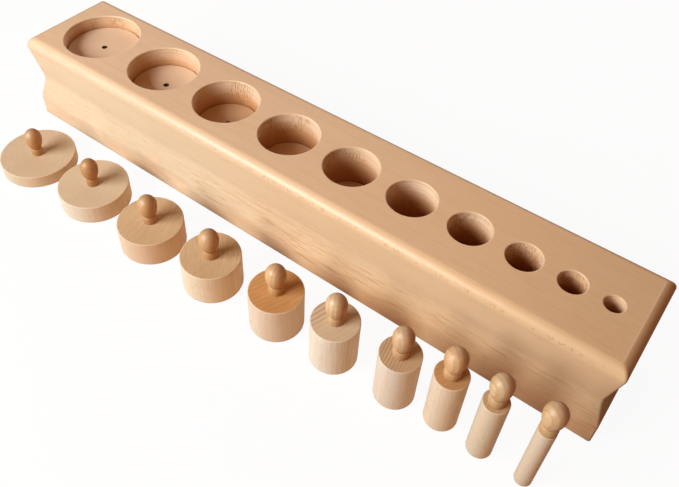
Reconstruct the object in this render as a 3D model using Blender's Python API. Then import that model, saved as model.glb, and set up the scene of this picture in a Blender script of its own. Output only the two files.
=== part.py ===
"""Knobbed cylinder block, a wooden sorting toy.

A long beech block has ten blind sockets in a row. Along the row the sockets get
narrower and deeper. Ten turned cylinders belong in them, each with a glued knob
to lift it by. Here the cylinders are out of their sockets and stand in a row in
front of the block.

The frame: the origin is the middle of the block's underside, +X runs along the
block towards the narrow socket, +Z is up, and the cylinders stand at -Y.
Lengths are in metres.
"""

import math

import bmesh
import bpy

# Cylinders: the diameter falls and the height rises by even steps
CYLINDER_COUNT = 10
WIDEST_DIAMETER = 0.055
NARROWEST_DIAMETER = 0.010
LOWEST_HEIGHT = 0.010
TALLEST_HEIGHT = 0.055
CYLINDER_EDGE = 0.0006

# Knob: an egg-shaped head on a short flared foot, with a tenon under it
HEAD_DIAMETER = 0.0130
NECK_DIAMETER = 0.0088
KNOB_FOOT_DIAMETER = 0.0096
NECK_HEIGHT = 0.0060
HEAD_WIDEST_HEIGHT = 0.0152
KNOB_HEIGHT = 0.0222
TENON_DIAMETER = 0.0050
TENON_LENGTH = 0.0070
TENON_CHAMFER = 0.0005
GLUE_GAP = 0.0003

# Sockets
SOCKET_CLEARANCE = 0.0008
SOCKET_RIM_ROUND = 0.0008
VENT_DIAMETER = 0.0032
CUT_OVERRUN = 0.0050

# Wood left between the sockets and round them, at the top face
WIDE_WEB = 0.0101
NARROW_WEB = 0.0083
WIDE_END_MARGIN = 0.0141
NARROW_END_MARGIN = 0.0166
SIDE_MARGIN = 0.0096
FLOOR_THICKNESS = 0.0150

# Side moulding of the block, the same on all four sides
TOP_ROUND = 0.0068
WAIST_DEPTH = 0.0044
WAIST_HEIGHT_SHARE = 0.50
WAIST_ROUND = 0.0200
BASE_BAND_SHARE = 0.20
BASE_ROUND = 0.0160
BASE_EDGE = 0.0006
CORNER_ROUND = 0.0016

# Places of the loose cylinders: a row in front of the block, set down by hand.
# Each pair says how far a cylinder strays from its socket's line and the row.
ROW_GAP = 0.0420
HAND_PLAY = 0.0100
STRAY_SHARES = (
    (0.42, -0.06),
    (0.07, 0.04),
    (0.21, -0.25),
    (0.24, -0.26),
    (0.53, -0.16),
    (0.32, 0.00),
    (0.64, 0.14),
    (0.15, 0.44),
    (-0.12, 0.16),
    (0.25, 0.01),
)

# Fineness of the round work
CYLINDER_SIDES = 36
SOCKET_SIDES = 40
RIM_STEPS = 2
VENT_SIDES = 10
KNOB_SIDES = 20
HEAD_STEPS = 9
KNOB_FOOT_STEPS = 3
TOP_ROUND_STEPS = 6
WAIST_STEPS = 4
BASE_STEPS = 2
CORNER_STEPS = 3
EDGE_STEPS = 1
WELD_DISTANCE = 0.000001
SHARP_ANGLE = math.radians(32)


def clear_scene():
    for old in list(bpy.data.objects):
        bpy.data.objects.remove(old, do_unlink=True)


def wood(name, colour, roughness):
    material = bpy.data.materials.new(name)
    material.use_nodes = True
    shader = material.node_tree.nodes["Principled BSDF"]
    shader.inputs["Base Color"].default_value = (*colour, 1.0)
    shader.inputs["Roughness"].default_value = roughness
    shader.inputs["Metallic"].default_value = 0.0
    material.diffuse_color = (*colour, 1.0)
    return material


def block_wood():
    return wood("lacquered_beech", (0.62, 0.41, 0.22), 0.42)


def cylinder_wood():
    return wood("bare_beech", (0.68, 0.47, 0.28), 0.58)


def knob_wood():
    return wood("honey_lacquered_beech", (0.64, 0.37, 0.15), 0.28)


def add_object(name, mesh, material):
    piece = bpy.data.objects.new(name, mesh)
    bpy.context.scene.collection.objects.link(piece)
    mesh.materials.append(material)
    return piece


def arc(centre, radius, start, end, steps):
    """Points of an arc in a profile's plane, angles from the first axis."""
    points = []
    for step in range(steps + 1):
        angle = start + (end - start) * step / steps
        across = centre[0] + radius * math.cos(angle)
        up = centre[1] + radius * math.sin(angle)
        points.append((across, up))
    return points


def finish_mesh(shape, name):
    """Weld, face outwards, and shade the round stretches smooth."""
    bmesh.ops.remove_doubles(shape, verts=shape.verts, dist=WELD_DISTANCE)
    bmesh.ops.recalc_face_normals(shape, faces=shape.faces)
    mesh = bpy.data.meshes.new(name)
    shape.to_mesh(mesh)
    shape.free()
    mesh.shade_smooth()
    mesh.set_sharp_from_angle(angle=SHARP_ANGLE)
    return mesh


def turn_profile(shape, profile, sides):
    """Spin a profile of (radius, height) points round the Z axis."""
    corners = [shape.verts.new((radius, 0, height)) for radius, height in profile]
    edges = [shape.edges.new(pair) for pair in zip(corners, corners[1:])]
    bmesh.ops.spin(
        shape,
        geom=corners + edges,
        axis=(0, 0, 1),
        cent=(0, 0, 0),
        angle=math.tau,
        steps=sides,
        use_merge=True,
    )


def turned_mesh(name, profile, sides):
    shape = bmesh.new()
    turn_profile(shape, profile, sides)
    return finish_mesh(shape, name)


def cylinder_diameter(number):
    share = number / (CYLINDER_COUNT - 1)
    return WIDEST_DIAMETER + (NARROWEST_DIAMETER - WIDEST_DIAMETER) * share


def cylinder_height(number):
    share = number / (CYLINDER_COUNT - 1)
    return LOWEST_HEIGHT + (TALLEST_HEIGHT - LOWEST_HEIGHT) * share


def socket_radius(number):
    return cylinder_diameter(number) / 2 + SOCKET_CLEARANCE


def rim_radius(number):
    return socket_radius(number) + SOCKET_RIM_ROUND


def web(number):
    """Wood between a socket and the next: it narrows slowly at first, then faster."""
    share = (number / (CYLINDER_COUNT - 2)) ** 2
    return WIDE_WEB + (NARROW_WEB - WIDE_WEB) * share


def block_length():
    rims = sum(2 * rim_radius(number) for number in range(CYLINDER_COUNT))
    webs = sum(web(number) for number in range(CYLINDER_COUNT - 1))
    return WIDE_END_MARGIN + rims + webs + NARROW_END_MARGIN


def block_width():
    return 2 * (rim_radius(0) + SIDE_MARGIN)


def block_height():
    return cylinder_height(CYLINDER_COUNT - 1) + FLOOR_THICKNESS


def socket_places():
    """X of each socket's axis, from the wide end of the block."""
    place = WIDE_END_MARGIN + rim_radius(0) - block_length() / 2
    places = [place]
    for number in range(CYLINDER_COUNT - 1):
        place += rim_radius(number) + web(number) + rim_radius(number + 1)
        places.append(place)
    return places


def standing_places():
    """X and Y of each cylinder's axis, where it stands in front of the block."""
    row = -(block_width() / 2 + ROW_GAP)
    places = []
    for socket, (along, away) in zip(socket_places(), STRAY_SHARES):
        places.append((socket + HAND_PLAY * along, row + HAND_PLAY * away))
    return places


def flank_angle(lean, rise, radii):
    """Lean of the straight line that is tangent to two arcs of opposite bend."""
    return math.atan2(rise, lean) - math.acos(radii / math.hypot(lean, rise))


def side_moulding():
    """The block's side as (inset, height) points, from the underside up."""
    height = block_height()
    waist = WAIST_HEIGHT_SHARE * height
    band = BASE_BAND_SHARE * height
    low_radii = BASE_ROUND + WAIST_ROUND
    low_lean = flank_angle(low_radii - WAIST_DEPTH, waist - band, low_radii)
    shoulder = height - TOP_ROUND
    top_radii = TOP_ROUND + WAIST_ROUND
    top_lean = flank_angle(top_radii - WAIST_DEPTH, shoulder - waist, top_radii)

    hollow = (WAIST_DEPTH - WAIST_ROUND, waist)
    points = arc((BASE_EDGE, BASE_EDGE), BASE_EDGE, 1.5 * math.pi, math.pi, BASE_STEPS)
    points += arc((BASE_ROUND, band), BASE_ROUND, math.pi, math.pi - low_lean, BASE_STEPS)
    points += arc(hollow, WAIST_ROUND, -low_lean, top_lean, WAIST_STEPS)
    nose = (TOP_ROUND, shoulder)
    points += arc(nose, TOP_ROUND, math.pi + top_lean, math.pi / 2, TOP_ROUND_STEPS)
    return points


def plan_ring(inset, height):
    """A level ring round the block: its plan drawn in by the inset."""
    half_length = block_length() / 2 - inset - CORNER_ROUND
    half_width = block_width() / 2 - inset - CORNER_ROUND
    quarters = ((1, 1), (-1, 1), (-1, -1), (1, -1))
    ring = []
    for quarter, (along, across) in enumerate(quarters):
        centre = (along * half_length, across * half_width)
        start = quarter * math.pi / 2
        corner = arc(centre, CORNER_ROUND, start, start + math.pi / 2, CORNER_STEPS)
        ring += [(x, y, height) for x, y in corner]
    return ring


def block_body_mesh():
    shape = bmesh.new()
    rings = []
    for inset, height in side_moulding():
        rings.append([shape.verts.new(place) for place in plan_ring(inset, height)])
    for lower, upper in zip(rings, rings[1:]):
        for here in range(len(lower)):
            nearby = (here + 1) % len(lower)
            shape.faces.new((lower[here], lower[nearby], upper[nearby], upper[here]))
    shape.faces.new(list(reversed(rings[0])))
    shape.faces.new(rings[-1])
    return finish_mesh(shape, "block")


def socket_profile(number):
    """The outline that the socket's drill leaves: bore, floor and rounded rim."""
    top = block_height()
    floor = top - cylinder_height(number)
    bore = socket_radius(number)
    rim_centre = (bore + SOCKET_RIM_ROUND, top - SOCKET_RIM_ROUND)
    rim = arc(rim_centre, SOCKET_RIM_ROUND, math.pi, math.pi / 2, RIM_STEPS)
    outside = [(rim_radius(number), top + CUT_OVERRUN), (0, top + CUT_OVERRUN)]
    return [(0, floor), (bore, floor)] + rim + outside


def vent_profile(number):
    """A fine hole from the socket's floor down through the underside."""
    floor = block_height() - cylinder_height(number)
    radius = VENT_DIAMETER / 2
    low = -CUT_OVERRUN
    high = floor + CUT_OVERRUN
    return [(0, low), (radius, low), (radius, high), (0, high)]


def drill(name, profile_of, sides):
    """One cutter for the whole row, turned at each socket's axis."""
    shape = bmesh.new()
    for number, place in enumerate(socket_places()):
        known = set(shape.verts)
        turn_profile(shape, list(reversed(profile_of(number))), sides)
        fresh = [vert for vert in shape.verts if vert not in known]
        bmesh.ops.translate(shape, verts=fresh, vec=(place, 0, 0))
    cutter = bpy.data.objects.new(name, finish_mesh(shape, name))
    bpy.context.scene.collection.objects.link(cutter)
    cutter.hide_render = True
    cutter.display_type = "WIRE"
    return cutter


def cut(piece, cutter):
    boolean = piece.modifiers.new(cutter.name, "BOOLEAN")
    boolean.operation = "DIFFERENCE"
    boolean.solver = "EXACT"
    boolean.object = cutter


def make_block():
    block = add_object("block", block_body_mesh(), block_wood())
    cut(block, drill("socket_drill", socket_profile, SOCKET_SIDES))
    cut(block, drill("vent_drill", vent_profile, VENT_SIDES))
    return block


def cylinder_profile(number):
    """A turned blank with eased edges and a blind hole for the knob's tenon."""
    radius = cylinder_diameter(number) / 2
    height = cylinder_height(number)
    hole = TENON_DIAMETER / 2 + GLUE_GAP
    floor = height - TENON_LENGTH
    low_edge = (radius - CYLINDER_EDGE, CYLINDER_EDGE)
    top_edge = (radius - CYLINDER_EDGE, height - CYLINDER_EDGE)
    points = [(0, floor), (hole, floor), (hole, height)]
    points += arc(top_edge, CYLINDER_EDGE, math.pi / 2, 0, EDGE_STEPS)
    points += arc(low_edge, CYLINDER_EDGE, 0, -math.pi / 2, EDGE_STEPS)
    points += [(0, 0)]
    return points


def knob_profile():
    """From the crown down: egg-shaped head, neck, flared foot and tenon."""
    head = HEAD_DIAMETER / 2
    neck = NECK_DIAMETER / 2
    foot = KNOB_FOOT_DIAMETER / 2
    tenon = TENON_DIAMETER / 2
    crown = KNOB_HEIGHT - HEAD_WIDEST_HEIGHT
    neck_angle = math.acos(neck / head)
    taper = (HEAD_WIDEST_HEIGHT - NECK_HEIGHT) / math.sin(neck_angle)

    points = []
    for step in range(HEAD_STEPS + 1):
        angle = math.pi / 2 - (math.pi / 2 + neck_angle) * step / HEAD_STEPS
        reach = crown if angle > 0 else taper
        points.append((head * math.cos(angle), HEAD_WIDEST_HEIGHT + reach * math.sin(angle)))
    for step in range(1, KNOB_FOOT_STEPS + 1):
        share = 1 - step / KNOB_FOOT_STEPS
        flare = (foot - neck) * math.cos(share * math.pi / 2)
        points.append((neck + flare, NECK_HEIGHT * share))
    points += [(tenon, 0), (tenon, TENON_CHAMFER - TENON_LENGTH)]
    points += [(tenon - TENON_CHAMFER, -TENON_LENGTH), (0, -TENON_LENGTH)]
    return points


def make_cylinder(number, place, material):
    name = f"cylinder_{number + 1:02d}"
    mesh = turned_mesh(name, cylinder_profile(number), CYLINDER_SIDES)
    cylinder = add_object(name, mesh, material)
    cylinder.location = (*place, 0)
    return cylinder


def make_knob(number, mesh, cylinder):
    """The knob sits on its cylinder and rides with it."""
    knob = bpy.data.objects.new(f"knob_{number + 1:02d}", mesh)
    bpy.context.scene.collection.objects.link(knob)
    knob.parent = cylinder
    knob.location = (0, 0, cylinder_height(number) + GLUE_GAP)
    return knob


def main():
    clear_scene()
    make_block()
    bare = cylinder_wood()
    knob_mesh = turned_mesh("knob", knob_profile(), KNOB_SIDES)
    knob_mesh.materials.append(knob_wood())
    for number, place in enumerate(standing_places()):
        cylinder = make_cylinder(number, place, bare)
        make_knob(number, knob_mesh, cylinder)
    bpy.context.view_layer.update()


main()
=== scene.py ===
"""Knobbed cylinder block: the lacquered beech block and its ten loose cylinders.

Every piece is a closed mesh in metres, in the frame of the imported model. The
wood of each piece is worked out in that piece's own space, from the fibre
direction and from where the middle of the tree would have been.
"""

import math
from itertools import zip_longest
from typing import NamedTuple

import bmesh
import bpy
from mathutils import Matrix, Vector


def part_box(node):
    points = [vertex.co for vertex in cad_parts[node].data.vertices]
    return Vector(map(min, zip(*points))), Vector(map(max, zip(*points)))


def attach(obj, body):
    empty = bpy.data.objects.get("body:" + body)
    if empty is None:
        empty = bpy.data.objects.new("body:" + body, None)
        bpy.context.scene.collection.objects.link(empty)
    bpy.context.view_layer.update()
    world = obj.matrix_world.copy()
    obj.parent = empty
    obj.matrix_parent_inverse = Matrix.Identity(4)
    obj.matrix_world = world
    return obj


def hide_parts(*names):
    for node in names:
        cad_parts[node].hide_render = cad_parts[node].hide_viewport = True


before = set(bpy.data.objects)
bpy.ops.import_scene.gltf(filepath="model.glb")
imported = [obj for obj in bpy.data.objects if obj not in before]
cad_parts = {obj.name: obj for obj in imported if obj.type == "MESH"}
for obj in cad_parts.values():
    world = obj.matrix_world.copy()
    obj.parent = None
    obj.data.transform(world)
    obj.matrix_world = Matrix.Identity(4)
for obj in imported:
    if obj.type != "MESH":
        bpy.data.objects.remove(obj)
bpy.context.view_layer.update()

CYLINDER_COUNT = 10

# Block: the sizes of the solid, in metres
SOCKET_CLEARANCE = 0.0008
RIM_ROUND = 0.0008
VENT_RADIUS = 0.0016
WIDE_WEB = 0.0101
NARROW_WEB = 0.0083
WIDE_END_MARGIN = 0.0141
TOP_ROUND = 0.0068
WAIST_DEPTH = 0.0044
WAIST_ROUND = 0.0200
WAIST_SHARE = 0.50
BASE_ROUND = 0.0160
BASE_BAND_SHARE = 0.20
BASE_EDGE = 0.0006
CORNER_ROUND = 0.0016

# Block: small shapes that only the eye needs
ROUND_PROUD = 0.00007
CREASE_SHEEN_WIDTH = 0.0012
CUTTER_GROOVE_DEPTH = 0.0012
CUTTER_GROOVE_WIDTH = 0.0009
VENT_EDGE = 0.0005

# Cylinders and knobs
CYLINDER_EDGE = 0.0006
TENON_HOLE_RADIUS = 0.0028
TENON_RADIUS = 0.0025
TENON_LENGTH = 0.0070
TENON_END_GAP = 0.0002
HEAD_RADIUS = 0.0065
HEAD_WIDEST_HEIGHT = 0.0152
NECK_RADIUS = 0.0041
NECK_HEIGHT = 0.0060
BEAD_BULGE = 0.0008
BEAD_HEIGHT = 0.0024
KNOB_SEAT = 0.00005

# Knobs turned a little slimmer, by number: shares of the usual radius
HEAD_SHARES = {1: 0.93, 2: 0.93, 7: 0.96, 9: 0.96, 10: 0.96}
FOOT_SHARES = {1: 0.84, 2: 0.84, 3: 0.93}

# Fineness: sides of the turned shapes, and steps of each arc in an outline. The
# first five sockets are wide enough to show their sides, so they have more.
WIDE_SOCKETS = 5
WIDE_SOCKET_SIDES = 144
NARROW_SOCKET_SIDES = 96
CYLINDER_SIDES = 128
KNOB_SIDES = 72
BASE_EDGE_STEPS = 4
BASE_ROUND_STEPS = 10
WAIST_STEPS = 24
TOP_ROUND_STEPS = 24
CORNER_STEPS = 6
RIM_STEPS = 6
VENT_EDGE_STEPS = 4
CYLINDER_EDGE_STEPS = 6
HEAD_STEPS = 40
FOOT_STEPS = 14

# A ring this close beside an edge keeps the flat next to it evenly shaded
SUPPORT = 0.0002

# Edges sharper than this are shaded as edges
BLOCK_SHARP_ANGLE = math.radians(30)
KNOB_SHARP_ANGLE = math.radians(40)

# Marks that the finishes read, from 0 for none to 1 for full. The pits are given for
# the steps of the rounded top edge, from the waist up. The rims' mark is partly wear
# and partly a painted sheen; the groove's and the creases' marks are for painted shade.
TOP_ROUND_PITS = (0, 0, 0, 0, 0, 0.3, 1, 1, 1, 1, 0.3)
RIM_WEAR_AND_SHEEN = 0.5
GROOVE_SHADE = 0.85
CREASE_EDGE_SHADE = 0.4

# The log that the block is cut from: where its pith lies beside and below the
# block, and how far along the log the block is
BLOCK_PITH = (0.062, -0.085)
BLOCK_START = 3.0
RING_SWAY = 0.006

# Level direction towards the turned pieces' shaded side, on which their wood is painted
# warmer and darker as shade
SHADED_SIDE = (0.8, 0.6)

# Woods of the block, of the cylinders' sides and of the knobs
BEECH = {
    "pale": (0.78, 0.58, 0.38),
    "plain": (0.74, 0.54, 0.345),
    # Painted warm light low on the front, in the cylinders' shadows
    "warm": (0.95, 0.60, 0.31),
    "late": (0.58, 0.37, 0.185),
    "late_ruddy": (0.62, 0.335, 0.145),
    "vein": (0.46, 0.25, 0.105),
    "rosy": (0.88, 0.63, 0.45),
    "end": (0.52, 0.32, 0.155),
    # Painted shade of the right-hand end
    "right_end_shade": (0.31, 0.27, 0.20),
    # Painted contact shadow along the feet of the block and the cylinders
    "contact_shade": (0.30, 0.19, 0.10),
    # Painted shade towards the right-hand end
    "tan": (0.78, 0.515, 0.235),
    "ray": (0.36, 0.19, 0.085),
    # Pale of wear, and painted light on the shallow parts of the sockets
    "wear_and_painted_light": (0.87, 0.71, 0.53),
    "bare": (0.78, 0.61, 0.44),
    "bare_late": (0.68, 0.48, 0.30),
    # Painted shade deep in the sockets
    "recess_shade": (0.48, 0.185, 0.035),
    # Painted shade in the vents and the cutter's groove
    "vent": (0.10, 0.04, 0.015),
}
SANDED = {
    "streak": (0.66, 0.45, 0.29),
    "fibre": (0.62, 0.42, 0.26),
    "fleck": (0.47, 0.28, 0.15),
    # Pale eased edges: partly wear, partly painted sheen
    "edge": (0.87, 0.70, 0.52),
}
HONEY = {
    # Painted shade on the knobs' side away from the lamp
    "painted_shade": (0.52, 0.18, 0.02),
    "ring": (0.42, 0.21, 0.07),
    "streak": (0.46, 0.25, 0.10),
    "lathe": (0.44, 0.24, 0.09),
    "fleck": (0.38, 0.18, 0.06),
    "crown": (0.34, 0.18, 0.07),
    # Painted shade in the knobs' creases
    "crease": (0.24, 0.095, 0.032),
}

# Tints that a colour is multiplied by. The first three are painted shade: the block's
# sides darker than its top, its right-hand end darker, and each turned piece warmer on
# its shaded side.
SIDE_SHADE_TINT = {"left": (0.79, 0.92, 1.04), "right": (0.83, 0.90, 0.95)}
RIGHT_END_SHADE_TINT = (0.90, 0.90, 0.90)
TURNED_SHADE_TINT = {"cool": (0.93, 0.96, 0.99), "warm": (1.20, 0.99, 0.82)}
SANDED_TAN = (0.96, 0.92, 0.88)
HONEY_TAN = (0.80, 0.73, 0.64)

# Sawn faces: light wood, middling wood, and the dark of rings and pores
SAWN = {
    "pale": ((0.62, 0.485, 0.335), (0.59, 0.45, 0.30), (0.44, 0.30, 0.18)),
    "cream": ((0.65, 0.52, 0.36), (0.615, 0.48, 0.325), (0.44, 0.30, 0.18)),
    "ringed_pale": ((0.69, 0.545, 0.375), (0.66, 0.51, 0.34), (0.27, 0.16, 0.085)),
    "tan": ((0.65, 0.47, 0.28), (0.60, 0.42, 0.24), (0.39, 0.25, 0.125)),
    "ringed_tan": ((0.61, 0.43, 0.255), (0.56, 0.385, 0.22), (0.25, 0.145, 0.07)),
    "straw": ((0.58, 0.405, 0.225), (0.53, 0.36, 0.195), (0.39, 0.25, 0.125)),
    "orange": ((0.635, 0.35, 0.135), (0.585, 0.305, 0.11), (0.36, 0.16, 0.055)),
    "amber": ((0.57, 0.33, 0.15), (0.52, 0.285, 0.12), (0.36, 0.16, 0.055)),
}


class Blank(NamedTuple):
    """The wood of one cylinder and its knob.

    heading says in degrees how the rings run across the sawn faces, spacing
    how far apart they are, and pith how far from the cylinder's middle the
    middle of the tree was. contrast and lines are the strength of the rings
    and of fine lines. fade says how far beyond the cylinder's middle, away
    from the tree's, the rings begin to fade and are gone.
    """

    side: tuple
    knob: tuple
    sawn: str
    heading: float
    spacing: float
    contrast: float
    lines: float
    pith: float
    sharpness: float = 3.0
    fade: tuple = (1.0, 2.0)


BLANKS = (
    Blank(
        side=(0.57, 0.52, 0.41), knob=(0.43, 0.295, 0.155), sawn="pale",
        heading=142, spacing=0.0040, contrast=0.08, lines=0.15, pith=0.09,
    ),
    Blank(
        side=(0.635, 0.62, 0.54), knob=(0.37, 0.215, 0.09), sawn="cream",
        heading=120, spacing=0.0050, contrast=0.08, lines=0.12, pith=0.11,
    ),
    Blank(
        side=(0.62, 0.52, 0.40), knob=(0.49, 0.32, 0.17), sawn="tan",
        heading=105, spacing=0.0045, contrast=0.10, lines=0.35, pith=0.10,
    ),
    Blank(
        side=(0.70, 0.65, 0.515), knob=(0.52, 0.355, 0.19), sawn="tan",
        heading=124, spacing=0.0034, contrast=0.15, lines=0.50, pith=0.07,
    ),
    Blank(
        side=(0.66, 0.605, 0.505), knob=(0.60, 0.425, 0.22), sawn="orange",
        heading=70, spacing=0.0030, contrast=0.30, lines=0.30, pith=0.12,
    ),
    Blank(
        side=(0.70, 0.725, 0.66), knob=(0.615, 0.49, 0.305), sawn="ringed_pale",
        heading=78, spacing=0.0030, contrast=0.95, lines=0.12, pith=0.10,
        sharpness=5.0, fade=(-0.008, 0.002),
    ),
    Blank(
        side=(0.65, 0.63, 0.555), knob=(0.56, 0.425, 0.265), sawn="ringed_tan",
        heading=101, spacing=0.0019, contrast=0.95, lines=0.12, pith=0.10,
        sharpness=5.0, fade=(0.0, 0.011),
    ),
    Blank(
        side=(0.66, 0.60, 0.475), knob=(0.615, 0.435, 0.24), sawn="amber",
        heading=60, spacing=0.0026, contrast=0.25, lines=0.25, pith=0.08,
    ),
    Blank(
        side=(0.595, 0.555, 0.43), knob=(0.55, 0.435, 0.265), sawn="straw",
        heading=90, spacing=0.0026, contrast=0.25, lines=0.25, pith=0.09,
    ),
    Blank(
        side=(0.595, 0.545, 0.44), knob=(0.55, 0.415, 0.24), sawn="tan",
        heading=75, spacing=0.0024, contrast=0.25, lines=0.25, pith=0.08,
    ),
)

# A coat this dense gives the broad, soft sheen of a satin lacquer
LACQUER_IOR = 4.0

# A Mix node's sockets for colours: its inputs, and its output
MIX_SHARE, MIX_FIRST, MIX_SECOND = 0, 6, 7
MIX_COLOUR = 2

# Room, table top and lamps
TABLE_HALF_WIDTH = 4.0
TABLE_LEVEL = -0.0003
TABLE_WHITE = (0.92, 0.92, 0.92)
TABLE_BOUNCE = (0.72, 0.48, 0.28)
TABLE_GLOW = 0.94
ROOM_WHITE = (1.0, 1.0, 1.0)
ROOM_SHADE = {"Color": (1.0, 0.31, 0.055), "Strength": 0.21}
LAMP_WHITE = (1.0, 0.99, 0.97)


def arc(centre, radius, start, end, steps):
    """Points of an arc from one angle to another."""
    points = []
    for step in range(steps + 1):
        angle = start + (end - start) * step / steps
        across = centre[0] + radius * math.cos(angle)
        points.append((across, centre[1] + radius * math.sin(angle)))
    return points


def join_rings(shape, first, second):
    """Faces between two rings; a ring of one vertex is a tip."""
    count = max(len(first), len(second))
    for here in range(count):
        after = (here + 1) % count
        corners = [first[here % len(first)], first[after % len(first)]]
        corners += [second[after % len(second)], second[here % len(second)]]
        shape.faces.new(list(dict.fromkeys(corners)))


def level_ring(shape, radius, height, sides, axis):
    """A level ring round an upright axis, or a tip where the radius is 0."""
    if radius == 0:
        return [shape.verts.new((*axis, height))]
    ring = []
    for side in range(sides):
        angle = math.tau * side / sides
        x = axis[0] + radius * math.cos(angle)
        y = axis[1] + radius * math.sin(angle)
        ring.append(shape.verts.new((x, y, height)))
    return ring


def turn(shape, outline, sides, axis=(0, 0)):
    """Turn an outline round an upright axis and join its rings.

    The outline is in stretches of (radius, height) points, and the rings come
    back in the same stretches.
    """
    stretches = [
        [level_ring(shape, radius, height, sides, axis) for radius, height in stretch]
        for stretch in outline
    ]
    rings = [ring for stretch in stretches for ring in stretch]
    for first, second in zip(rings, rings[1:]):
        join_rings(shape, first, second)
    return stretches


def blank_shape(*layer_names):
    """An empty mesh with a float layer for each named mark on its surface."""
    shape = bmesh.new()
    for name in layer_names:
        shape.verts.layers.float.new(name)
    return shape


def mark(shape, layer_name, rings, value):
    """Give every vertex of the rings its share of a named mark."""
    layer = shape.verts.layers.float[layer_name]
    for ring in rings:
        for vert in ring:
            vert[layer] = value


def finish_mesh(shape, name):
    """A smooth mesh of the shape, with its faces outwards."""
    bmesh.ops.recalc_face_normals(shape, faces=shape.faces)
    mesh = bpy.data.meshes.new(name)
    shape.to_mesh(mesh)
    shape.free()
    mesh.shade_smooth()
    return mesh


def new_object(name, data, place=(0, 0, 0)):
    """An object in the scene, made of a mesh, a lamp or a lens."""
    thing = bpy.data.objects.new(name, data)
    thing.location = place
    bpy.context.scene.collection.objects.link(thing)
    return thing


def add_piece(name, mesh, materials, body, node, place=(0, 0, 0)):
    """A piece in its place: what it rides on, stands for and is finished from."""
    piece = new_object(name, mesh, place)
    for material in materials:
        mesh.materials.append(material)
    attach(piece, body)
    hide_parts(node)


class Cylinder:
    """Sizes of one cylinder and its socket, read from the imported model."""

    def __init__(self, number):
        self.number = number
        low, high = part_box(f"cylinder_{number:02d}")
        self.place = ((low.x + high.x) / 2, (low.y + high.y) / 2)
        self.radius = (high.x - low.x) / 2
        self.height = high.z
        self.bore = self.radius + SOCKET_CLEARANCE
        self.rim = self.bore + RIM_ROUND


CYLINDERS = [Cylinder(number) for number in range(1, CYLINDER_COUNT + 1)]


def socket_places(length):
    """Middles of the sockets along the block, from the widest to the narrowest."""
    place = WIDE_END_MARGIN + CYLINDERS[0].rim - length / 2
    places = [place]
    last_web = CYLINDER_COUNT - 2
    for number, (here, after) in enumerate(zip(CYLINDERS, CYLINDERS[1:])):
        share = (number / last_web) ** 2
        web = WIDE_WEB + (NARROW_WEB - WIDE_WEB) * share
        place += here.rim + web + after.rim
        places.append(place)
    return places


def flank_angle(lean, rise, radii):
    """Angle at which a straight flank meets the two arcs that it joins."""
    return math.atan2(rise, lean) - math.acos(radii / math.hypot(lean, rise))


def side_moulding(height):
    """The block's side as (inset, height, pits) rows, from the underside up."""
    waist = WAIST_SHARE * height
    band = BASE_BAND_SHARE * height
    low_radii = BASE_ROUND + WAIST_ROUND
    low_lean = flank_angle(low_radii - WAIST_DEPTH, waist - band, low_radii)
    shoulder = height - TOP_ROUND + ROUND_PROUD
    top_radii = TOP_ROUND + WAIST_ROUND
    top_lean = flank_angle(top_radii - WAIST_DEPTH, shoulder - waist, top_radii)
    crease = math.pi / 2 + math.acos(1 - ROUND_PROUD / TOP_ROUND)

    edge = (BASE_EDGE, BASE_EDGE)
    foot = (BASE_ROUND, band)
    hollow = (WAIST_DEPTH - WAIST_ROUND, waist)
    crown = (TOP_ROUND, shoulder)
    points = arc(edge, BASE_EDGE, 1.5 * math.pi, math.pi, BASE_EDGE_STEPS)
    points += arc(foot, BASE_ROUND, math.pi, math.pi - low_lean, BASE_ROUND_STEPS)
    points += arc(hollow, WAIST_ROUND, -low_lean, top_lean, WAIST_STEPS)
    rows = [(*point, 0) for point in points]
    points = arc(crown, TOP_ROUND, math.pi + top_lean, crease, TOP_ROUND_STEPS)
    pitted = zip_longest(points, TOP_ROUND_PITS, fillvalue=0)
    return rows + [(*point, pits) for point, pits in pitted]


def plan_ring(shape, inset, level, length, width):
    """A ring of the block's outline. Its two ends are marked as end grain."""
    half_length = length / 2 - inset - CORNER_ROUND
    half_width = width / 2 - inset - CORNER_ROUND
    end = shape.verts.layers.float["end"]
    ring = []
    for quarter, (along, across) in enumerate(((1, 1), (-1, 1), (-1, -1), (1, -1))):
        centre = (along * half_length, across * half_width)
        start = quarter * math.pi / 2
        corner = arc(centre, CORNER_ROUND, start, start + math.pi / 2, CORNER_STEPS)
        for step, (x, y) in enumerate(corner):
            vert = shape.verts.new((x, y, level))
            vert[end] = math.cos(start + step * math.pi / (2 * CORNER_STEPS)) ** 2
            ring.append(vert)
    return ring


def socket_outline(cylinder, top):
    """A socket from the block's top down: lead, rim, wall, groove, floor, vent."""
    floor = top - cylinder.height
    bore = cylinder.bore
    core = bore - CUTTER_GROOVE_WIDTH
    lip = VENT_RADIUS + VENT_EDGE
    rim = (cylinder.rim, top - RIM_ROUND)
    upper, lower = (lip, floor - VENT_EDGE), (lip, VENT_EDGE)
    vent = arc(upper, VENT_EDGE, math.pi / 2, math.pi, VENT_EDGE_STEPS)
    vent += arc(lower, VENT_EDGE, math.pi, 1.5 * math.pi, VENT_EDGE_STEPS)
    return (
        [(cylinder.rim + SUPPORT, top)],
        arc(rim, RIM_ROUND, math.pi / 2, math.pi, RIM_STEPS),
        [(bore, floor)],
        [(bore, floor - CUTTER_GROOVE_DEPTH)],
        [(core, floor), (core - SUPPORT, floor), (lip + SUPPORT, floor)],
        vent + [(lip + SUPPORT, 0)],
    )


def ring_edges(shape, ring):
    """The edges round a ring."""
    pairs = zip(ring, ring[1:] + ring[:1])
    return [shape.edges.get(pair) or shape.edges.new(pair) for pair in pairs]


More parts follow.
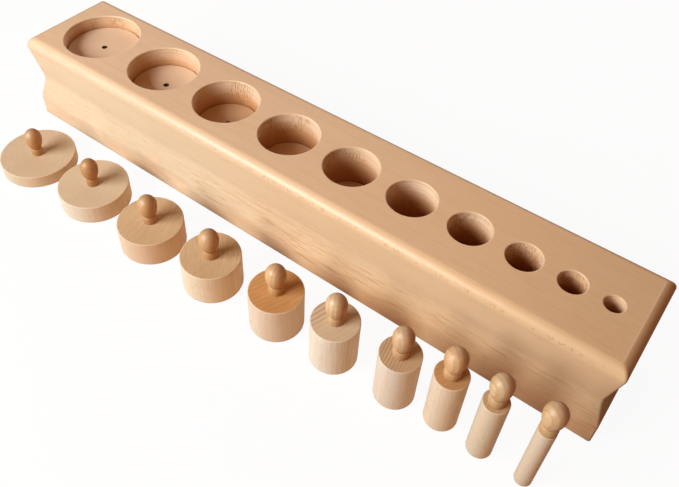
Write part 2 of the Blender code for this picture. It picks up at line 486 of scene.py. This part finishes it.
def block_mesh():
    """The block with its moulded sides, sockets and vents, as one closed mesh."""
    low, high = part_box("block")
    length, width, top = high.x - low.x, high.y - low.y, high.z
    shape = blank_shape("wear_and_sheen", "pitted", "end", "bored", "wall", "vent")
    moulding = side_moulding(top)
    crease = moulding[-1][0]
    rows = [(BASE_EDGE + SUPPORT, 0, 0), *moulding]
    rows += [(crease + SUPPORT, top, 0), (crease + CREASE_SHEEN_WIDTH, top, 0)]
    rings = []
    for inset, level, pits in rows:
        ring = plan_ring(shape, inset, level, length, width)
        mark(shape, "pitted", [ring], pits)
        rings.append(ring)
    for lower, upper in zip(rings, rings[1:]):
        join_rings(shape, lower, upper)

    underside, top_face = rings[0], rings[-1]
    # Painted highlight: the top edge's crease is marked pale on the block's two ends
    creased = rings[-3] + rings[-2]
    wear_and_sheen = shape.verts.layers.float["wear_and_sheen"]
    end = shape.verts.layers.float["end"]
    for vert in creased:
        vert[wear_and_sheen] = vert[end]
    for vert in underside + top_face:
        vert[end] = 0

    top_edges = ring_edges(shape, top_face)
    low_edges = ring_edges(shape, underside)
    for cylinder, place in zip(CYLINDERS, socket_places(length)):
        wide = cylinder.number <= WIDE_SOCKETS
        sides = WIDE_SOCKET_SIDES if wide else NARROW_SOCKET_SIDES
        outline = socket_outline(cylinder, top)
        lead, rim, wall, groove, floor, vent = turn(shape, outline, sides, (place, 0))
        # The rims are marked pale: partly wear, partly painted sheen
        mark(shape, "wear_and_sheen", rim, RIM_WEAR_AND_SHEEN)
        mark(shape, "bored", rim[-1:] + wall + groove + floor + vent, 1)
        mark(shape, "wall", rim[-2:] + wall, 1)
        # Painted shade: the cutter's groove and the vent are marked to be painted
        # nearly black
        mark(shape, "vent", groove, GROOVE_SHADE)
        mark(shape, "vent", vent, 1)
        top_edges += ring_edges(shape, lead[0])
        low_edges += ring_edges(shape, vent[-1])
    bored = shape.verts.layers.float["bored"]
    for face in shape.faces:
        face.material_index = int(all(vert[bored] == 1 for vert in face.verts))
    bmesh.ops.triangle_fill(shape, use_beauty=True, edges=top_edges, normal=(0, 0, 1))
    bmesh.ops.triangle_fill(shape, use_beauty=True, edges=low_edges, normal=(0, 0, -1))
    mesh = finish_mesh(shape, "block_body")
    mesh.set_sharp_from_angle(angle=BLOCK_SHARP_ANGLE)
    return mesh


def cylinder_outline(radius, height):
    """A turned blank: hole and top face, upper edge, side, lower edge, foot."""
    hole = TENON_HOLE_RADIUS
    flat = radius - CYLINDER_EDGE
    upper, lower = (flat, height - CYLINDER_EDGE), (flat, CYLINDER_EDGE)
    top = [(0, height - TENON_LENGTH), (hole, height - TENON_LENGTH)]
    top += [(hole, height - SUPPORT), (hole, height)]
    top += [(hole + SUPPORT, height), (flat - SUPPORT, height)]
    return (
        top,
        arc(upper, CYLINDER_EDGE, math.pi / 2, 0, CYLINDER_EDGE_STEPS),
        [(radius, upper[1] - SUPPORT), (radius, lower[1] + SUPPORT)],
        arc(lower, CYLINDER_EDGE, 0, -math.pi / 2, CYLINDER_EDGE_STEPS),
        [(flat - SUPPORT, 0), (0, 0)],
    )


def cylinder_mesh(cylinder):
    """A turned blank with eased edges and the hole that takes the knob's tenon."""
    shape = blank_shape("wear_and_sheen", "sawn")
    outline = cylinder_outline(cylinder.radius, cylinder.height)
    top, upper, _, lower, foot = turn(shape, outline, CYLINDER_SIDES)
    # The eased edges are marked pale: partly wear, partly painted sheen
    mark(shape, "wear_and_sheen", upper + lower, 1)
    mark(shape, "sawn", top + upper[:2] + lower[-1:] + foot, 1)
    return finish_mesh(shape, f"cylinder_{cylinder.number:02d}")


def knob_outline(crown, head_radius, neck_radius):
    """A knob from its crown down: head, foot with its low bead, and tenon."""
    neck_angle = math.acos(neck_radius / head_radius)
    above = crown - HEAD_WIDEST_HEIGHT
    below = (HEAD_WIDEST_HEIGHT - NECK_HEIGHT) / math.sin(neck_angle)
    head = []
    for step in range(HEAD_STEPS + 1):
        angle = math.pi / 2 - (math.pi / 2 + neck_angle) * step / HEAD_STEPS
        reach = above if angle > 0 else below
        radius = 0 if step == 0 else head_radius * math.cos(angle)
        head.append((radius, HEAD_WIDEST_HEIGHT + reach * math.sin(angle)))
    foot = []
    reach = NECK_HEIGHT - BEAD_HEIGHT
    seat_angle = -math.asin((BEAD_HEIGHT - KNOB_SEAT) / reach)
    for step in range(1, FOOT_STEPS + 1):
        angle = math.pi / 2 + (seat_angle - math.pi / 2) * step / FOOT_STEPS
        radius = neck_radius + BEAD_BULGE * math.cos(angle)
        foot.append((radius, BEAD_HEIGHT + reach * math.sin(angle)))
    tenon_end = TENON_END_GAP - TENON_LENGTH
    tenon = [(TENON_RADIUS, KNOB_SEAT), (TENON_RADIUS, tenon_end), (0, tenon_end)]
    return head, foot, tenon


def knob_mesh(number, crown):
    """A turned knob, with the crease at its neck and the one at its seat marked."""
    shape = blank_shape("crease")
    head_radius = HEAD_RADIUS * HEAD_SHARES.get(number, 1)
    neck_radius = NECK_RADIUS * FOOT_SHARES.get(number, 1)
    outline = knob_outline(crown, head_radius, neck_radius)
    head, foot, _ = turn(shape, outline, KNOB_SIDES)
    # The creases are marked for painted shade
    mark(shape, "crease", head[-2:] + foot[:1] + foot[-1:], 1)
    mark(shape, "crease", [head[-3], foot[1], foot[-2]], CREASE_EDGE_SHADE)
    mesh = finish_mesh(shape, f"knob_{number:02d}")
    mesh.set_sharp_from_angle(angle=KNOB_SHARP_ANGLE)
    return mesh


class Term:
    """A socket of a finish. Arithmetic on it adds Math nodes."""

    def __init__(self, finish, socket):
        self.finish = finish
        self.socket = socket

    def __add__(self, other):
        return self.finish.maths("ADD", self, other)

    def __sub__(self, other):
        return self.finish.maths("SUBTRACT", self, other)

    def __rsub__(self, other):
        return self.finish.maths("SUBTRACT", other, self)

    def __mul__(self, other):
        return self.finish.maths("MULTIPLY", self, other)

    def __truediv__(self, other):
        return self.finish.maths("DIVIDE", self, other)

    def __pow__(self, other):
        return self.finish.maths("POWER", self, other)

    __radd__ = __add__
    __rmul__ = __mul__

    def smooth(self, low, high):
        """0 below low, 1 above high, eased between them."""
        sockets = {"Value": self, "From Min": low, "From Max": high}
        settings = {"interpolation_type": "SMOOTHSTEP"}
        return self.finish.node("ShaderNodeMapRange", settings, sockets)


class Finish:
    """The nodes of a material or of the world, under construction."""

    def __init__(self, owner):
        owner.use_nodes = True
        self.owner = owner
        self.tree = owner.node_tree

    def fill(self, socket, value):
        """Link a term to a socket, or give it a colour or a number."""
        if isinstance(value, Term):
            self.tree.links.new(value.socket, socket)
        elif isinstance(value, tuple):
            socket.default_value = (*value, 1.0)
        else:
            socket.default_value = value

    def node(self, kind, settings, sockets, output=0):
        """A node of any kind, as the term of one of its outputs."""
        node = self.tree.nodes.new(kind)
        for name, value in settings.items():
            setattr(node, name, value)
        for name, value in sockets.items():
            self.fill(node.inputs[name], value)
        return Term(self, node.outputs[output])

    def maths(self, operation, *values):
        settings = {"operation": operation}
        return self.node("ShaderNodeMath", settings, dict(enumerate(values)))

    def vector(self, x, y, z):
        return self.node("ShaderNodeCombineXYZ", {}, {0: x, 1: y, 2: z})

    def noise(self, place, detail=2.0, roughness=0.5):
        """Noise at a place that is already scaled, a cell to a unit."""
        sockets = {"Vector": place, "Scale": 1.0}
        sockets |= {"Detail": detail, "Roughness": roughness}
        return self.node("ShaderNodeTexNoise", {}, sockets)

    def attribute(self, name):
        return self.node("ShaderNodeAttribute", {"attribute_name": name}, {}, "Fac")

    def blend(self, share, first, second, mode="MIX"):
        """The share of the second colour over the first."""
        settings = {"data_type": "RGBA", "blend_type": mode}
        sockets = {MIX_SHARE: share, MIX_FIRST: first, MIX_SECOND: second}
        return self.node("ShaderNodeMix", settings, sockets, MIX_COLOUR)

    def stain(self, colour, *stains):
        """Lay stains on a colour one after another, each a (share, colour)."""
        for share, stain in stains:
            colour = self.blend(share, colour, stain)
        return colour

    def mix_shaders(self, share, first, second):
        sockets = {0: share, 1: first, 2: second}
        return self.node("ShaderNodeMixShader", {}, sockets)

    def set(self, name, value):
        """Give a socket of the wood's own shader its value."""
        self.fill(self.tree.nodes["Principled BSDF"].inputs[name], value)

    def lacquer(self, weight, roughness):
        """A clear coat, which alone gives the piece its gloss."""
        self.set("Coat Weight", weight)
        self.set("Coat Roughness", roughness)
        self.set("Coat IOR", LACQUER_IOR)
        self.set("Specular IOR Level", 0.0)

    def bump(self, height, depth):
        sockets = {"Height": height, "Distance": depth}
        self.set("Normal", self.node("ShaderNodeBump", {}, sockets))

    def show(self, stock_shader, output, shader):
        """Show a shader in place of the one that the tree came with."""
        self.tree.nodes.remove(self.tree.nodes[stock_shader])
        self.fill(self.tree.nodes[output].inputs["Surface"], shader)


class Log:
    """Beech as it grew.

    along, round and radius say in metres how far a point lies along the
    fibres, round the pith and out from it. x, y and z are its place in the
    piece.
    """

    def __init__(self, finish, fibre, pith, start):
        self.finish = finish
        coordinates = finish.node("ShaderNodeTexCoord", {}, {}, "Object")
        x, y, z = (
            finish.node("ShaderNodeSeparateXYZ", {}, {0: coordinates}, axis)
            for axis in range(3)
        )
        self.x, self.y, self.z = x, y, z
        if fibre == "X":
            self.along, side, up = x + start, y - pith[0], z - pith[1]
        else:
            self.along, side, up = z + start, x - pith[0], y - pith[1]
        sway = finish.noise(finish.vector(self.along * 9, side * 16, up * 16))
        self.radius = (side * side + up * up) ** 0.5 + (sway - 0.5) * RING_SWAY
        self.round = finish.maths("ARCTAN2", up, side) * math.hypot(*pith)

    def grain(self, along, across, radial, detail=2.0, shift=0.0):
        """Noise in cells of the given length, width and radial depth."""
        place = self.finish.vector(
            self.along / along + shift, self.round / across, self.radius / radial
        )
        return self.finish.noise(place, detail)

    def clouds(self, x_scale, y_scale, z_scale, detail=2.0):
        """Noise that takes no notice of the grain."""
        place = self.finish.vector(
            self.x * x_scale, self.y * y_scale, self.z * z_scale
        )
        return self.finish.noise(place, detail)

    def rings(self, spacing, sharpness):
        """Growth rings: each darkens towards its outer edge and ends there."""
        return self.finish.maths("FRACT", self.radius / spacing) ** sharpness

    def towards(self, direction):
        """How far a point lies in a level direction from the piece's middle."""
        return self.x * direction[0] + self.y * direction[1]


def wood(name):
    """A new material, ready for its nodes."""
    return Finish(bpy.data.materials.new(name))


def darker(colour, shares):
    """A colour with its red, green and blue turned down to their shares."""
    return tuple(value * share for value, share in zip(colour, shares))


def block_finish():
    """Satin lacquered beech, plain sawn, with the fibres along the block."""
    finish = wood("lacquered_beech")
    log = Log(finish, "X", BLOCK_PITH, BLOCK_START)
    # Pale marks: partly wear, partly painted sheen on the rims and a painted highlight
    # on the ends' crease
    wear_and_sheen = finish.attribute("wear_and_sheen")
    pitted = finish.attribute("pitted")
    end = finish.attribute("end")

    # Zones of the block, by height, by side and along it
    foot = 1 - log.z.smooth(0.0003, 0.0016)
    low = 1 - log.z.smooth(0.004, 0.034)
    belly = log.z.smooth(0.002, 0.012) * (1 - log.z.smooth(0.026, 0.044)) * (1 - end)
    side = 1 - log.z.smooth(0.0668, 0.0698)
    calm_rear = 1 - log.y.smooth(-0.01, 0.03) * 0.7
    right = log.x.smooth(0.10, 0.20)

    # Figure of the wood, from broad clouds to single fibres and dents
    broad = log.clouds(7, 26, 26)
    patches = finish.vector(log.x * 17 + 5, log.y * 20, log.z * 45)
    patches = finish.noise(patches, detail=1.0).smooth(0.42, 0.68) * low
    patches = patches * (0.35 + log.x.smooth(-0.18, -0.02) * 0.65)
    blotches = finish.vector(log.x * 26 + 9, log.y * 30, log.z * 60)
    blotches = finish.noise(blotches).smooth(0.52, 0.68) * low
    rings = log.rings(spacing=0.0042, sharpness=3.0)
    streaks = log.grain(0.060, 0.0014, 0.0030, detail=3.0).smooth(0.42, 0.75)
    veins = log.grain(0.017, 0.0007, 0.0010, shift=5.0).smooth(0.56, 0.66)
    veined = 0.06 + belly * (0.10 + log.x.smooth(-0.16, 0.02) * 0.58)
    veined = veined + log.x.smooth(0.02, 0.16) * (1 - side) * 0.14
    fibres = log.grain(0.012, 0.0004, 0.0006, shift=7.0).smooth(0.45, 0.80)
    flecks = log.grain(0.0130, 0.00055, 0.012, detail=1.0, shift=3.0).smooth(0.54, 0.68)
    flecks = flecks * (1 - end)
    dents = log.grain(0.0034, 0.0020, 0.0050, detail=0.0, shift=11.0)
    dents = dents.smooth(0.56, 0.60) * (1 - dents.smooth(0.62, 0.68))
    dents = dents * pitted * (0.35 + log.x.smooth(-0.10, 0.06) * 0.65)

    # End grain, with painted shade: the right-hand end, away from the lamp, is painted
    # darkest below its rounded top edge
    right_low = right * (1 - log.z.smooth(0.056, 0.066))
    end_tone = finish.blend(right_low, BEECH["end"], BEECH["right_end_shade"])
    end_top = right * log.z.smooth(0.0620, 0.0690)
    end_share = (0.60 + right * 0.20) * (1 - end_top * 0.65)

    # Painted shade that changes slowly along the block: towards the right-hand end,
    # away from the lamp, the wood is painted darker and more saturated; low on the
    # front, where the cylinders' shadows fall, a warm light is painted
    rightward_shade = log.x.smooth(-0.16, 0.24) * (0.5 + log.z.smooth(0.060, 0.069) * 0.5)
    shaded = log.x.smooth(0.13, 0.22) * 0.9
    painted_bounce = low * log.x.smooth(-0.04, 0.10)

    # Painted shade: the block's sides below its top are multiplied darker, cooler
    # towards the left end
    side_shade_tint = finish.blend(
        log.x.smooth(-0.12, 0.06), SIDE_SHADE_TINT["left"], SIDE_SHADE_TINT["right"]
    )
    colour = finish.blend(broad.smooth(0.3, 0.7), BEECH["pale"], BEECH["plain"])
    colour = finish.blend(side, colour, side_shade_tint, "MULTIPLY")
    colour = finish.stain(
        colour,
        (painted_bounce * 0.45, BEECH["warm"]),
        (patches * 0.55, BEECH["late_ruddy"]),
        (blotches * 0.62, BEECH["rosy"]),
        (rings * 0.14, BEECH["late"]),
        (streaks * (0.12 + low * 0.08), BEECH["late"]),
        (veins * (veined * calm_rear), BEECH["vein"]),
        (fibres * (0.14 + low * 0.30), BEECH["late"]),
        (flecks * (0.06 + belly * 0.10) * calm_rear, BEECH["ray"]),
        (dents * 0.58, BEECH["ray"]),
        (end * end_share, end_tone),
        (rightward_shade * 0.48, BEECH["tan"]),
    )
    colour = finish.blend(shaded, colour, RIGHT_END_SHADE_TINT, "MULTIPLY")
    # Pale marks of wear and painted sheen on the rims and the ends' crease, then a
    # painted contact shadow along the foot
    colour = finish.stain(
        colour, (wear_and_sheen * 0.45, BEECH["wear_and_painted_light"]), (foot * 0.50, BEECH["contact_shade"])
    )
    finish.set("Base Color", colour)
    finish.set("Roughness", 0.42 + streaks * 0.05 + fibres * 0.06)
    finish.lacquer((0.125 - flecks * 0.02) * (1 - end * 0.6), roughness=0.41)
    height = fibres * 0.3 + streaks * 0.15 - flecks * 0.3 - dents * 1.8
    finish.bump(height, depth=0.00006)
    return finish.owner


def bore_finish():
    """Bare beech as the cutter left it: chatter and torn fibres, with painted shade
    deep down and in the vents.
    """
    finish = wood("bored_beech")
    log = Log(finish, "X", BLOCK_PITH, BLOCK_START)
    vent = finish.attribute("vent")
    wall = finish.attribute("wall")
    floor = 1 - wall
    broad = log.clouds(30, 30, 30)
    chatter = finish.vector(log.z * 560, log.x * 12, log.y * 12)
    chatter = finish.noise(chatter, roughness=0.6)
    fibres = log.grain(0.010, 0.0005, 0.0006, shift=7.0).smooth(0.45, 0.80)
    torn = log.clouds(1500, 1500, 260, detail=1.0).smooth(0.52, 0.64)
    torn = torn * broad.smooth(0.45, 0.58) * wall

    # Painted shade: the wood is painted darker further down, and in the first and the
    # last few sockets
    wall_recess_shade = (1 - log.z.smooth(0.047, 0.069)) * wall * 0.80
    floor_recess_shade = (1 - log.z.smooth(0.036, 0.062)) * floor * 0.40
    outer = 0.20 - log.x.smooth(-0.20, -0.10) * 0.20 + log.x.smooth(0.12, 0.20) * 0.25
    recess_shade = wall_recess_shade + floor_recess_shade + wall * outer

    colour = finish.blend(broad.smooth(0.3, 0.7), BEECH["bare"], BEECH["bare_late"])
    colour = finish.stain(
        colour,
        # Painted light: the upper walls are paler
        (log.z.smooth(0.056, 0.067) * wall * 0.50, BEECH["wear_and_painted_light"]),
        (chatter.smooth(0.42, 0.66) * 0.42, BEECH["late"]),
        (fibres * 0.12, BEECH["late"]),
        (torn * 0.62, BEECH["ray"]),
        (recess_shade, BEECH["recess_shade"]),
        # Painted light: the floors of the shallow sockets are paler
        (log.z.smooth(0.048, 0.060) * floor * 0.55, BEECH["wear_and_painted_light"]),
        # Painted shade: the vents and the cutter's groove are painted nearly black
        (vent, BEECH["vent"]),
    )
    finish.set("Base Color", colour)
    finish.set("Roughness", 0.62)
    finish.set("Specular IOR Level", 0.08)
    finish.bump(chatter * 1.4 + fibres * 0.3 - torn * 1.2, depth=0.00005)
    return finish.owner


def cylinder_finish(cylinder):
    """Sanded bare beech: upright fibres, end grain on the sawn faces, painted shade on
    the side away from the lamp and along the foot.
    """
    blank = BLANKS[cylinder.number - 1]
    light, middling, dark = SAWN[blank.sawn]
    angle = math.radians(blank.heading + 90)
    pith = (blank.pith * math.cos(angle), blank.pith * math.sin(angle))
    finish = wood(f"bare_beech_{cylinder.number:02d}")
    log = Log(finish, "Z", pith, start=0.7 * cylinder.number)
    wear_and_sheen = finish.attribute("wear_and_sheen")
    sawn = finish.attribute("sawn")
    patch = log.clouds(45, 45, 14).smooth(0.3, 0.7)

    streaks = log.grain(0.040, 0.0011, 0.0011).smooth(0.42, 0.66)
    fibres = log.grain(0.010, 0.00035, 0.00035, shift=5.0).smooth(0.45, 0.80)
    flecks = log.grain(0.0028, 0.00040, 0.010, detail=1.0, shift=2.0).smooth(0.61, 0.73)
    foot = 1 - log.z.smooth(0.0003, 0.0014)
    # Painted shade: the side away from the lamp is multiplied warmer and darker, the
    # lit side a little cooler
    shade_side_share = (log.towards(SHADED_SIDE) / cylinder.radius).smooth(-0.7, 1.0)
    painted_turned_shade = finish.blend(shade_side_share, TURNED_SHADE_TINT["cool"], TURNED_SHADE_TINT["warm"])
    side = finish.blend(patch, blank.side, darker(blank.side, SANDED_TAN))
    side = finish.stain(
        finish.blend(1.0, side, painted_turned_shade, "MULTIPLY"),
        (streaks * 0.42, SANDED["streak"]),
        (fibres * 0.16, SANDED["fibre"]),
        (flecks * 0.30, SANDED["fleck"]),
        # Painted contact shadow along the foot
        (foot * 0.35, BEECH["contact_shade"]),
    )

    rings = log.rings(blank.spacing, blank.sharpness)
    rings = rings * (1 - (log.radius - blank.pith).smooth(*blank.fade) * 0.85)
    lines = log.grain(0.2, 0.0090, 0.00055, shift=9.0).smooth(0.42, 0.72)
    pores = log.clouds(2600, 2600, 600).smooth(0.50, 0.75)
    end = finish.stain(
        finish.blend(patch, light, middling),
        (rings * blank.contrast, dark),
        (lines * blank.lines, dark),
        (pores * 0.14, dark),
    )

    # Pale eased edges: partly wear, partly painted sheen
    colour = finish.stain(side, (sawn, end), (wear_and_sheen * 0.15, SANDED["edge"]))
    finish.set("Base Color", colour)
    finish.set("Roughness", 0.55 + streaks * 0.08)
    finish.set("Specular IOR Level", 0.15)
    height = (fibres * 0.5 + streaks * 0.3 - flecks * 0.5) * (1 - sawn)
    height = height - sawn * (pores * 0.5 + rings * 0.3 + lines * 0.5)
    finish.bump(height, depth=0.00005)
    return finish.owner


def knob_finish(number):
    """Turned beech under a warm satin lacquer, with painted shade on the side away from
    the lamp.
    """
    blank = BLANKS[number - 1]
    finish = wood(f"honey_beech_{number:02d}")
    pith = (0.03, 0.012 * number - 0.06)
    log = Log(finish, "Z", pith, start=1.3 * number)
    crease = finish.attribute("crease")
    crown = log.z.smooth(0.0195, 0.0225)
    patch = log.clouds(90, 90, 60).smooth(0.38, 0.62)
    rings = log.rings(spacing=0.0026, sharpness=2.0)
    streaks = log.grain(0.030, 0.0009, 0.0009, detail=3.0).smooth(0.42, 0.75)
    fibres = log.grain(0.008, 0.0003, 0.0003, shift=5.0).smooth(0.45, 0.80)
    flecks = log.grain(0.0022, 0.00035, 0.008, detail=1.0, shift=2.0).smooth(0.62, 0.74)
    lathe = finish.vector(log.z * 700, log.x * 30, log.y * 30)
    lathe = finish.noise(lathe).smooth(0.42, 0.70)

    # Painted shade lies on the side away from the lamp, with a ragged edge
    ragged = (log.grain(0.004, 0.003, 0.003) - 0.5) * 0.003
    across = log.towards(SHADED_SIDE) + ragged
    painted_shade = across.smooth(-0.0012, 0.0030) * (1 - across.smooth(0.0042, 0.0062) * 0.40)

    colour = finish.stain(
        finish.blend(patch, blank.knob, darker(blank.knob, HONEY_TAN)),
        (painted_shade * 0.68, HONEY["painted_shade"]),
        (rings * 0.60, HONEY["ring"]),
        (streaks * 0.30, HONEY["streak"]),
        (lathe * 0.16, HONEY["lathe"]),
        (flecks * 0.35, HONEY["fleck"]),
        (crown * 0.25, HONEY["crown"]),
        # Painted shade in the creases, strongest on the shaded side
        (crease * (0.30 + painted_shade * 0.45), HONEY["crease"]),
    )
    finish.set("Base Color", colour)
    finish.set("Roughness", 0.42 + streaks * 0.08)
    finish.lacquer(0.15, roughness=0.46)
    height = fibres * 0.3 + streaks * 0.3 - flecks * 0.3 - lathe * 0.8
    finish.bump(height, depth=0.00003)
    return finish.owner


def seen_directly(finish):
    """1 for rays from the camera, a gloss or a clear piece, 0 for soft light."""
    camera, glossy, clear = (
        finish.node("ShaderNodeLightPath", {}, {}, f"Is {kind} Ray")
        for kind in ("Camera", "Glossy", "Transmission")
    )
    return finish.maths("MAXIMUM", finish.maths("MAXIMUM", camera, glossy), clear)


def stage_floor():
    """A pale table top. Seen directly it is nearly white and keeps the shadow."""
    shape = blank_shape()
    bmesh.ops.create_grid(shape, x_segments=1, y_segments=1, size=TABLE_HALF_WIDTH)
    floor = new_object("floor", finish_mesh(shape, "floor"), (0, 0, TABLE_LEVEL))
    finish = wood("pale_table")
    bounce = finish.node("ShaderNodeBsdfDiffuse", {}, {"Color": TABLE_BOUNCE})
    matt = finish.node("ShaderNodeBsdfDiffuse", {}, {"Color": TABLE_WHITE})
    glow = finish.node("ShaderNodeEmission", {}, {"Strength": 1.0})
    table = finish.mix_shaders(TABLE_GLOW, matt, glow)
    shader = finish.mix_shaders(seen_directly(finish), bounce, table)
    finish.show("Principled BSDF", "Material Output", shader)
    floor.data.materials.append(finish.owner)


def soft_lamp(name, place, aim, size, power):
    """A soft rectangular lamp that faces a point."""
    lamp = bpy.data.lights.new(name, "AREA")
    lamp.shape = "RECTANGLE"
    lamp.size, lamp.size_y = size
    lamp.energy = power
    lamp.color = LAMP_WHITE
    towards = Vector(aim) - Vector(place)
    light = new_object(name, lamp, place)
    light.rotation_euler = towards.to_track_quat("-Z", "Y").to_euler()


def light_room():
    """A white room to look at, a dim warm one for the shade, and soft lamps."""
    room = bpy.data.worlds.new("room")
    bpy.context.scene.world = room
    finish = Finish(room)
    shade = finish.node("ShaderNodeBackground", {}, ROOM_SHADE)
    white = finish.node("ShaderNodeBackground", {}, {"Color": ROOM_WHITE})
    shader = finish.mix_shaders(seen_directly(finish), shade, white)
    finish.show("Background", "World Output", shader)
    soft_lamp(
        "front_window", place=(-0.42, -0.88, 0.58), aim=(-0.05, -0.03, 0.03),
        size=(0.75, 0.50), power=16.4,
    )
    soft_lamp(
        "back_panel", place=(-0.25, 1.0, 0.42), aim=(0.0, 0.0, 0.03),
        size=(0.8, 0.4), power=2.8,
    )


def camera_view():
    """The photograph's view, found from the sockets, edges and cylinders."""
    right = Vector((0.7962990, 0.6043990, 0.0246939))
    down = Vector((0.4498239, -0.5643639, -0.6922079))
    ahead = Vector((-0.4044334, 0.5623124, -0.7212756))
    place = Vector((0.222028, -0.288931, 0.384315))
    lens = bpy.data.cameras.new("view")
    lens.sensor_width = 36.0
    lens.lens = 38.775
    lens.shift_x = 0.0328
    lens.shift_y = -0.0498
    lens.clip_start = 0.01
    view = new_object("view", lens)
    turned = Matrix((right, -down, -ahead)).transposed()
    view.matrix_world = Matrix.Translation(place) @ turned.to_4x4()
    bpy.context.scene.camera = view


def dress():
    """Every piece with its finish: the block, and each cylinder with its knob."""
    woods = [block_finish(), bore_finish()]
    add_piece("block_body", block_mesh(), woods, "block", "block")
    for cylinder in CYLINDERS:
        number = cylinder.number
        body = f"knobbed_cylinder_{number:02d}"
        node = f"cylinder_{number:02d}"
        mesh, woods = cylinder_mesh(cylinder), [cylinder_finish(cylinder)]
        place = (*cylinder.place, 0)
        add_piece(f"turned_{node}", mesh, woods, body, node, place)
        node = f"knob_{number:02d}"
        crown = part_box(node)[1].z - cylinder.height
        mesh, woods = knob_mesh(number, crown), [knob_finish(number)]
        place = (*cylinder.place, cylinder.height)
        add_piece(f"turned_{node}", mesh, woods, body, node, place)


bpy.context.scene.view_settings.view_transform = "Standard"
dress()
stage_floor()
light_room()
camera_view()
